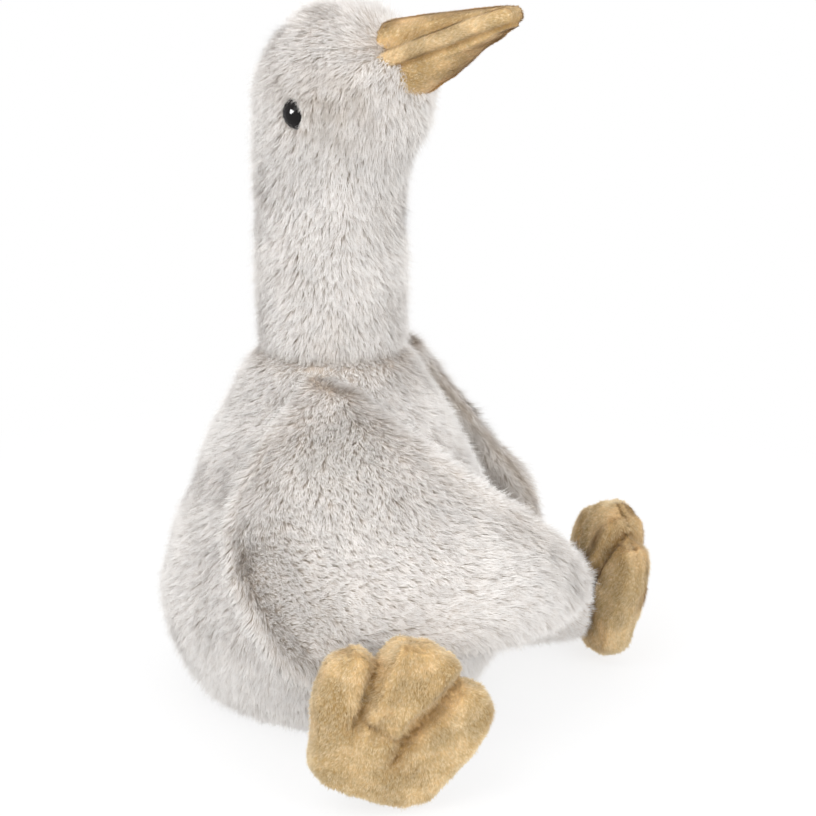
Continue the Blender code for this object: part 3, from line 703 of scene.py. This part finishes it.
def make_body():
    """The torso, neck and head as one even skin, cut at the seams into its panels."""
    names = ["torso_panel_right", "torso_panel_left", "torso_filling", "pellet_pouch",
             "neck_panel_right", "neck_panel_left", "neck_filling", "eye_washer_right", "eye_washer_left"]
    whole = around_nodes("body_skin", names, BODY_CELL, 4, fur)
    points, normals = read(whole.data)
    near_wing = distance_to(points, *wings["right"], *wings["left"])
    beak_gap = distance_to(points, *beaks)
    press_body(whole, near_wing, beak_gap)
    points, normals = read(whole.data)
    near_leg = distance_to(points, *legs["right"], *legs["left"])
    thick = np.where((near_leg < 0.004) | (near_wing < 0.004), 0.2, 1.0)
    thick = np.where((points[:, 2] < 0.0015) | (beak_gap < 0.0003), 0.0, thick)
    flow = body_flow(points, normals)
    give(whole.data, "flow", flow)
    give(whole.data, "thick", thick)
    give(whole.data, "reach", body_reach(points, flow, near_wing, beak_gap))
    give(whole.data, "shade", body_shade(points, near_wing))
    middle = (0.0, 0.0, NECK_SEAM_HEIGHT)
    for seed, (name, side) in enumerate(SIDES.items()):
        across = (side, 0.0, 0.0)
        torso = part_of(whole, f"torso_fur_{name}", (middle, across), (middle, DOWN))
        grow_pile(torso, pile, **PILE, Seed=SEED + seed)
        extra = ["torso_filling", "pellet_pouch"] if name == "right" else []
        finish_piece(torso, "fur_cloth", f"torso_panel_{name}", *extra)
        neck = part_of(whole, f"neck_fur_{name}", (middle, across), (middle, -DOWN))
        grow_pile(neck, pile, **PILE, Seed=SEED + 2 + seed)
        extra = ["neck_filling"] if name == "right" else []
        finish_piece(neck, "fur_cloth", f"neck_panel_{name}", f"eye_washer_{name}", *extra)
    bpy.data.objects.remove(whole)


# Wings

WING_CELL = 0.0020
WING_PRESSURE = 4.0
WING_CAP = 0.0025
# How far the stitched line lies inside the rim, how deep it and the front seam are, and how far the rim
# stands out
WING_SEAM_INSIDE = 0.0085
WING_SEAM_DEPTH = 0.0014
FRONT_SEAM_DEPTH = 0.0020
WING_LIP = 0.0015
# Where the pile of each wing runs to, 25 mm past the wing's end
WING_AIMS = {"right": (0.004, -0.134, 0.044), "left": (0.134, 0.004, 0.044)}
# A parting at the wing's shoulder, for the left side, where the pile is shorter and painted shade darkens
# it
WING_PARTING = (0.047, -0.018, 0.112)


def distance_to_points(points, others):
    """The distance from each point to the nearest of some others."""
    tree = KDTree(len(others))
    for number, point in enumerate(others):
        tree.insert(point, number)
    tree.balance()
    return np.array([tree.find(point)[2] for point in points])


def make_wing(name, side, seed):
    """A padded wing with its stitched line, its rim and the pile that runs to its tip and over the rim."""
    names = [f"wing_outer_panel_{name}", f"wing_inner_panel_{name}", f"wing_filling_{name}"]
    piece = around_nodes(f"wing_fur_{name}", names, WING_CELL, 3, fur)
    points, normals = read(piece.data)
    outward = unit(points * (1.0, 1.0, 0.0))
    facing = rows_dot(normals, outward)[:, 0]
    from_rim = distance_to_points(points, points[np.abs(facing) < 0.3])
    aim = np.array(WING_AIMS[name])
    inland = step_between(points[:, 2], 0.128, 0.112)
    upper = 0.25 + 0.75 * step_between(points[:, 2], 0.055, 0.100)
    before_tip = step_between(far_from(points, aim), 0.047, 0.070)
    seam = bell(from_rim - WING_SEAM_INSIDE, 0.0018) * (facing > 0.3) * inland * before_tip * upper
    fill_out(piece, np.maximum(seam, bell(from_rim, 0.002)), WING_PRESSURE, WING_CAP)

    points, normals = read(piece.data)
    front = (points[:, 1] < points[:, 1].mean()) * (name == "left")
    front_seam = 0.8 * bell(facing, 0.20) * front * step_between(points[:, 2], 0.140, 0.126)
    drawn_in = WING_SEAM_DEPTH * seam + FRONT_SEAM_DEPTH * front_seam
    lip = WING_LIP * bell(from_rim, 0.006) * inland
    write(piece.data, points - (normals * drawn_in[:, None] - outward * lip[:, None]))

    points, normals = read(piece.data)
    closeness = step_between(points[:, 2], 0.125, 0.07)[:, None]
    to_tip = unit(aim - points) * closeness + DOWN * (1.0 - closeness)
    by_rim = (inland * (1.0 - step_between(from_rim, 0.001, 0.014)))[:, None]
    over_rim = unit(points - points.mean(axis=0)) * 0.7 + DOWN * 0.8
    flow = over_surface(to_tip * (1.0 - by_rim) + over_rim * by_rim, normals)
    wander = 0.30 * drift(points, 0.020, 11 + seed) + 0.12 * drift(points, 0.007, 12)
    give(piece.data, "flow", turned_flow(flow, normals, wander))

    front = (points[:, 1] < points[:, 1].mean()) * (name == "left")
    strip = (1.0 - step_between(facing, 0.15, 0.50)) * front
    parting = bell(far_from(points, np.array(WING_PARTING) * (side, 1.0, 1.0)), 0.015)
    parting = patchy(parting, points, 0.004, 13)
    # Painted shade: darker along the stitched line and the left wing's front seam, over the left wing's
    # inner strip that faces the body, at the shoulder's parting, and a little all over
    shade = 1.0 - 0.16 * seam - 0.45 * parting - 0.8 * front_seam - 0.32 * strip - 0.05
    give(piece.data, "shade", np.clip(shade, 0.0, 1.0))
    covered = distance_to(points, nodes["torso_panel_right"], nodes["torso_panel_left"]) < 0.008
    give(piece.data, "thick", np.where((facing < -0.2) & covered, 0.3, 1.0))
    reach = 0.95 * (1.0 - 0.35 * seam) * (1.0 - 0.3 * parting) * (1.0 + 0.12 * drift(points, 0.012, 21))
    give(piece.data, "reach", reach)
    grow_pile(piece, pile, **PILE, Seed=SEED + 10 + seed)
    finish_piece(piece, "fur_cloth", *names)


# Legs and feet

LEG_CELL = 0.0025
FOOT_CELL = 0.0015
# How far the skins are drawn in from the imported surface
LEG_SUNK = 0.0015
FOOT_SUNK = 0.0024
FOOT_PRESSURE = 5.0
FOOT_CAP = 0.0020
# How far the toes are plump beside a crease, how deep the crease, the fold and the seam are, and how far
# the heel's corners fill out
TOE_PLUMP = 0.0012
CREASE_DEPTH = 0.0026
FOLD_DEPTH = 0.0014
FOOT_SEAM_DEPTH = 0.0008
HEEL_OUT = 0.0035
NAP = {"Strands": 6.4e6, "Tufts": 0.9e6, "Length": 0.0020, "Width": 0.00032, "Lay": 0.72, "Lift": 0.72,
       "Gather": 0.55, "Stray": 0.45}
# Where each foot's creases run, across the foot and up from its middle, from the notch to the palm
TOE_CREASES = {"right": (((-0.0165, 0.0300), (-0.0178, 0.0150), (-0.0180, -0.0005)),
                         ((0.0155, 0.0255), (0.0090, 0.0120), (0.0020, -0.0025), (0.0010, -0.0110))),
               "left": (((-0.0165, 0.0300), (-0.0130, 0.0150), (-0.0105, -0.0005)),
                        ((0.0165, 0.0300), (0.0130, 0.0150), (0.0105, -0.0005)))}
# The fold between the palm and the middle toe
TOE_FOLDS = {"right": ((-0.0170, 0.0015), (-0.0060, -0.0020), (0.0018, -0.0018)),
             "left": ((-0.0100, 0.0005), (0.0, -0.0015), (0.0100, 0.0005))}


def leg_direction(name):
    """The level direction in which a leg points."""
    splay = LEG_SPLAY[name]
    return np.array((math.sin(splay), -math.cos(splay), 0.0))


def make_leg(name, seed):
    """A fur tube whose pile runs down to the foot."""
    names = [f"leg_tube_{name}", f"leg_filling_{name}"]
    piece = around_nodes(f"leg_fur_{name}", names, LEG_CELL, 3, fur)
    sunk(piece, LEG_SUNK)
    points, normals = read(piece.data)
    direction = np.tile(leg_direction(name) + DOWN * 0.25, (len(points), 1))
    touching = distance_to(points, nodes["torso_panel_right"], nodes["torso_panel_left"],
                           nodes[f"foot_instep_panel_{name}"]) < 0.002
    give(piece.data, "shade", np.full(len(points), 0.96))
    give(piece.data, "flow", over_surface(direction, normals))
    give(piece.data, "thick", np.where(touching, 0.1, 1.0))
    give(piece.data, "reach", np.full(len(points), 0.75))
    grow_pile(piece, pile, **PILE, Seed=SEED + 20 + seed)
    finish_piece(piece, "fur_cloth", *names)


def foot_place(points, name):
    """Points of a foot as across, up and through, with the roll and the lean taken out."""
    splay, roll = LEG_SPLAY[name], FOOT_ROLL[name]
    through = leg_direction(name)
    across = np.array((-SIDES[name] * math.cos(splay), -abs(math.sin(splay)), 0.0))
    offset = points - through * FOOT_REACH
    sideways = offset @ across
    up = points[:, 2] - (points[:, 2].max() + points[:, 2].min()) / 2.0
    return (sideways * math.cos(roll) - up * math.sin(roll),
            up * math.cos(roll) + sideways * math.sin(roll),
            offset @ through - up * FOOT_LEAN[name])


def distance_to_line(across, up, line):
    """How far points of a plane are from a line through some places."""
    nearest = np.full(len(across), 1.0)
    for (first_across, first_up), (next_across, next_up) in zip(line, line[1:]):
        run, climb = next_across - first_across, next_up - first_up
        share = ((across - first_across) * run + (up - first_up) * climb) / (run * run + climb * climb)
        share = np.clip(share, 0.0, 1.0)
        gap = np.hypot(across - first_across - run * share, up - first_up - climb * share)
        nearest = np.minimum(nearest, gap)
    return nearest


def distance_to_crease(across, up, name):
    """The distance to the nearer of a foot's two creases."""
    return np.minimum(*(distance_to_line(across, up, line) for line in TOE_CREASES[name]))


def make_foot(name, seed):
    """A three-toed foot with plump toes, sharp creases between them and a fold at the palm."""
    names = [f"foot_sole_panel_{name}", f"foot_instep_panel_{name}", f"foot_filling_{name}"]
    piece = around_nodes(f"foot_cover_{name}", names, FOOT_CELL, 3, velvet)
    sunk(piece, FOOT_SUNK)
    across, up, through = foot_place(read(piece.data)[0], name)
    sewn = np.maximum(bell(distance_to_crease(across, up, name), 0.0012), bell(through, 0.0012))
    fill_out(piece, sewn, FOOT_PRESSURE, FOOT_CAP)

    points, normals = read(piece.data)
    across, up, through = foot_place(points, name)
    gap = distance_to_crease(across, up, name)
    face = np.abs(normals @ leg_direction(name))
    on_face = step_between(face, 0.1, 0.5)
    crease = bell(gap, 0.0009) * on_face
    plump = bell(gap - 0.0060, 0.0038) * on_face
    fold = bell(distance_to_line(across, up, TOE_FOLDS[name]), 0.0010) * (through > 0.003)
    seam = bell(through, 0.0010) * (1.0 - step_between(face, 0.3, 0.7))
    heel = step_between(up, -0.010, -0.026) * step_between(np.abs(across), 0.012, 0.026) * (1.0 - face)
    shift = TOE_PLUMP * plump - CREASE_DEPTH * crease - FOLD_DEPTH * fold - FOOT_SEAM_DEPTH * seam
    shift += HEEL_OUT * heel
    write(piece.data, points + normals * shift[:, None])

    points, normals = read(piece.data)
    # Painted shade: darker in each crease and the fold, and in a broad band beside each crease
    crease_shade_band = bell(gap, 0.0055) * on_face
    give(piece.data, "crease", np.clip(0.6 * crease + 0.30 * crease_shade_band + 0.35 * fold, 0.0, 1.0))
    # Painted sheen along the rim by the sole's seam
    rim_sheen = bell(np.abs(through) - 0.0025, 0.0016) * (1.0 - face)
    give(piece.data, "edge", np.clip(rim_sheen, 0.0, 1.0) * 0.6)
    lying = DOWN + 0.3 * unit(points - points.mean(axis=0))
    flow = turned_flow(over_surface(lying, normals), normals, 0.7 * drift(points, 0.012, 31 + seed))
    give(piece.data, "flow", flow)
    give(piece.data, "thick", 1.0 - 0.7 * np.clip(crease, 0.0, 1.0))
    give(piece.data, "reach", 1.0 + 0.2 * drift(points, 0.006, 33 + seed) - 0.6 * crease)
    grow_pile(piece, pile, **NAP, Seed=SEED + 30 + seed)
    finish_piece(piece, "velvet_cloth", *names)


# Beak

BEAK_NAP = {**NAP, "Length": 0.0015, "Lay": 0.85, "Lift": 0.48}
BEAK_CELL = 0.0009
# The rim's middle lies this far above the beak's base line, and it runs between two places along it
RIM_HEIGHT = 0.0030
RIM_FROM = -0.006
RIM_TO = 0.0565
RIM_RINGS = 24
RIM_SIDES = 12
# How far the underside is pressed up and the rim stands out, and how deep the valley and the mouth are
UNDER_PRESSED = 0.0022
RIM_PROUD = 0.0003
VALLEY_DEPTH = 0.0005
MOUTH_DEPTH = 0.0005


def rolled_rim():
    """The stuffed tube that runs round the beak's edge, from one corner to the tip and back."""
    places = np.linspace(RIM_FROM, RIM_TO, RIM_RINGS)
    aside = np.interp(places, BEAK_PLACES, BEAK_HALF_WIDTHS) - RIM_RADIUS * 0.95
    line = [BEAK_BASE + BEAK_AHEAD * place + BEAK_UPRIGHT * RIM_HEIGHT + np.array((width, 0.0, 0.0))
            for place, width in zip(places, aside)]
    line += [point * (-1.0, 1.0, 1.0) for point in reversed(line)]
    form = bmesh.new()
    rings = []
    for number, point in enumerate(line):
        ahead = unit((line[min(number + 1, len(line) - 1)] - line[max(number - 1, 0)])[None])[0]
        aside = np.cross(BEAK_UPRIGHT, ahead)
        turns = np.linspace(0.0, math.tau, RIM_SIDES, endpoint=False)
        ways = [aside * math.cos(turn) + BEAK_UPRIGHT * math.sin(turn) for turn in turns]
        rings.append([form.verts.new(point + RIM_RADIUS * way) for way in ways])
    for first, second in zip(rings, rings[1:]):
        for number in range(RIM_SIDES):
            after = (number + 1) % RIM_SIDES
            form.faces.new((first[number], first[after], second[after], second[number]))
    form.faces.new(rings[0][::-1])
    form.faces.new(rings[-1])
    bmesh.ops.recalc_face_normals(form, faces=form.faces[:])
    mesh = bpy.data.meshes.new("rolled rim")
    form.to_mesh(mesh)
    form.free()
    return mesh


def make_beak():
    """The velvety beak: a rolled rim round its top, a valley inside it and the mouth's line below."""
    names = ["beak_top_panel", "beak_under_panel", "beak_filling"]
    piece = around_nodes("beak_cover", names, BEAK_CELL, 5, velvet, rolled_rim())
    points, normals = read(piece.data)
    height = (points - BEAK_BASE) @ BEAK_UPRIGHT
    place = (points - BEAK_BASE) @ BEAK_AHEAD
    from_side = np.interp(place, BEAK_PLACES, BEAK_HALF_WIDTHS) - np.abs(points[:, 0])
    rim = bell(height - 0.0032, 0.0030) * (1.0 - step_between(from_side, 0.0018, 0.0034))
    rim *= step_between(place, 0.057, 0.049)
    under = step_between(height, -0.002, -0.007) * step_between(place, 0.004, 0.020)
    valley = bell(from_side - 0.0040, 0.0009) * step_between(height, 0.002, 0.003)
    valley *= step_between(place, 0.050, 0.042)
    mouth = bell(height + 0.0006, 0.0009) * step_between(from_side, 0.0014, 0.0026)
    points += BEAK_UPRIGHT * (UNDER_PRESSED * under)[:, None]
    shift = RIM_PROUD * rim - VALLEY_DEPTH * valley - MOUTH_DEPTH * mouth
    write(piece.data, points + normals * shift[:, None])
    points, normals = read(piece.data)
    # Painted shade in the mouth's line and the valley inside the rim
    give(piece.data, "crease", np.clip(np.maximum(mouth * 0.5, valley * 0.3), 0.0, 1.0))
    # Painted sheen on the rolled rim
    give(piece.data, "edge", np.clip(rim, 0.0, 1.0) * 0.25)
    flow = over_surface(np.tile(BEAK_AHEAD, (len(points), 1)), normals)
    give(piece.data, "flow", turned_flow(flow, normals, 0.45 * drift(points, 0.010, 41)))
    give(piece.data, "thick", np.where(place < -0.003, 0.0, 1.0 - 0.7 * mouth))
    give(piece.data, "reach", 0.9 + 0.7 * rim - 0.5 * mouth)
    grow_pile(piece, pile, **BEAK_NAP, Seed=SEED + 40)
    finish_piece(piece, "velvet_cloth", *names)


# Seat and eyes

SEAT_CELL = 0.0018
PUCKERS = 48
PUCKER_DEPTH = 0.0005
SEAT_SEAM_DEPTH = 0.0006


def make_seat():
    """The flat cloth disc that the goose sits on, puckered where it is gathered into its seam."""
    piece = around_nodes("seat_cover", ["seat_gusset"], SEAT_CELL, 2, lining)
    points, normals = read(piece.data)
    radius = np.linalg.norm(points[:, :2], axis=1)
    reach = radius.max()
    turn = np.arctan2(points[:, 1], points[:, 0])
    puckers = (0.5 + 0.5 * np.cos(turn * PUCKERS)) * step_between(radius, reach - 0.010, reach - 0.002)
    seam = bell(radius - reach + 0.003, 0.0010)
    write(piece.data, points - normals * (PUCKER_DEPTH * puckers + SEAT_SEAM_DEPTH * seam)[:, None])
    finish_piece(piece, "seat_cloth", "seat_gusset")


def finish_eye(name):
    """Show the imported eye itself, in a maker's material."""
    eye = nodes[f"eye_{name}"]
    eye.data.materials.clear()
    eye.data.materials.append(eye_black)


make_body()
for seed, (name, side) in enumerate(SIDES.items()):
    make_wing(name, side, seed)
    make_leg(name, seed)
    make_foot(name, seed)
    finish_eye(name)
make_beak()
make_seat()


# Stage, light and camera

FLOOR_REACH = 6.0
# The floor fades into the room between these distances from the goose's middle
FADE_FROM = 0.16
FADE_TO = 0.40
VIEW_TURN = math.radians(-55.0)
VIEW_YAW = math.radians(2.2193)
VIEW_PITCH = math.radians(-16.9865)
CAMERA_AWAY = 0.800
CAMERA_HEIGHT = 0.36436
CAMERA_LENS = 89.52


def make_stage():
    """A white floor that the soft shadow lies on and that fades into the white room."""
    mesh = bpy.data.meshes.new("floor")
    corners = [(across * FLOOR_REACH, ahead * FLOOR_REACH, 0.0)
               for across, ahead in ((-1, -1), (1, -1), (1, 1), (-1, 1))]
    mesh.from_pydata(corners, [], [(0, 1, 2, 3)])
    material, tree, shader = new_material("white floor", 1.0)
    shader.inputs["Specular IOR Level"].default_value = 0.0
    shader.inputs["Base Color"].default_value = (0.95, 0.95, 0.955, 1.0)
    place = place_in_object(tree)
    far = range_of(place.vector_maths("LENGTH", out=1), FADE_FROM, FADE_TO, 0.80, 1.0)
    glow = tree.nodes.new("ShaderNodeEmission")
    mixed = tree.nodes.new("ShaderNodeMixShader")
    tree.links.new(far.socket, mixed.inputs[0])
    tree.links.new(shader.outputs[0], mixed.inputs[1])
    tree.links.new(glow.outputs[0], mixed.inputs[2])
    tree.links.new(mixed.outputs[0], tree.nodes["Material Output"].inputs["Surface"])
    add_piece("floor", mesh, material)


def make_world():
    """A white room that lights the goose evenly and is white where the camera sees it."""
    world = bpy.data.worlds.new("white room")
    world.use_nodes = True
    tree = world.node_tree
    background = tree.nodes["Background"]
    background.inputs["Color"].default_value = (1.0, 1.0, 1.0, 1.0)
    paths = tree.nodes.new("ShaderNodeLightPath")
    seen = Wire(tree, paths.outputs["Is Camera Ray"])
    strength = 0.97 + seen * 0.08
    tree.links.new(strength.socket, background.inputs["Strength"])
    bpy.context.scene.world = world


def add_lamp(name, place, aim, size, power):
    """A soft square lamp that faces a place."""
    data = bpy.data.lights.new(name, "AREA")
    data.shape = "SQUARE"
    data.size = size
    data.energy = power
    lamp = bpy.data.objects.new(name, data)
    bpy.context.scene.collection.objects.link(lamp)
    lamp.location = place
    lamp.rotation_euler = (Vector(aim) - Vector(place)).to_track_quat("-Z", "Y").to_euler()
    return lamp


def make_camera():
    """The camera that the goose's own proportions gave: 0.8 m away and 17 degrees down."""
    right = Vector((math.cos(VIEW_TURN), math.sin(VIEW_TURN), 0.0))
    ahead = Vector((-math.sin(VIEW_TURN), math.cos(VIEW_TURN), 0.0))
    up = Vector((0.0, 0.0, 1.0))
    level = right * math.sin(VIEW_YAW) + ahead * math.cos(VIEW_YAW)
    view = level * math.cos(VIEW_PITCH) + up * math.sin(VIEW_PITCH)
    across = right * math.cos(VIEW_YAW) - ahead * math.sin(VIEW_YAW)
    upright = across.cross(view)
    data = bpy.data.cameras.new("camera")
    data.sensor_width = 36.0
    data.lens = CAMERA_LENS
    camera = bpy.data.objects.new("camera", data)
    bpy.context.scene.collection.objects.link(camera)
    turned = Matrix((across, upright, -view)).transposed().to_4x4()
    camera.matrix_world = Matrix.Translation(up * CAMERA_HEIGHT - ahead * CAMERA_AWAY) @ turned
    bpy.context.scene.camera = camera


make_stage()
make_world()
add_lamp("key", (-0.80, 0.00, 0.95), (0.0, 0.0, 0.12), 0.8, 6.0)
add_lamp("front", (-0.35, -1.0, 0.7), (0.0, 0.0, 0.12), 0.6, 4.0)
glint = add_lamp("glint in the eye", (-0.82, 0.36, 0.42), (-0.03, 0.0, 0.25), 0.22, 14.0)
glint.visible_diffuse = False
make_camera()
bpy.context.scene.view_settings.view_transform = "Standard"
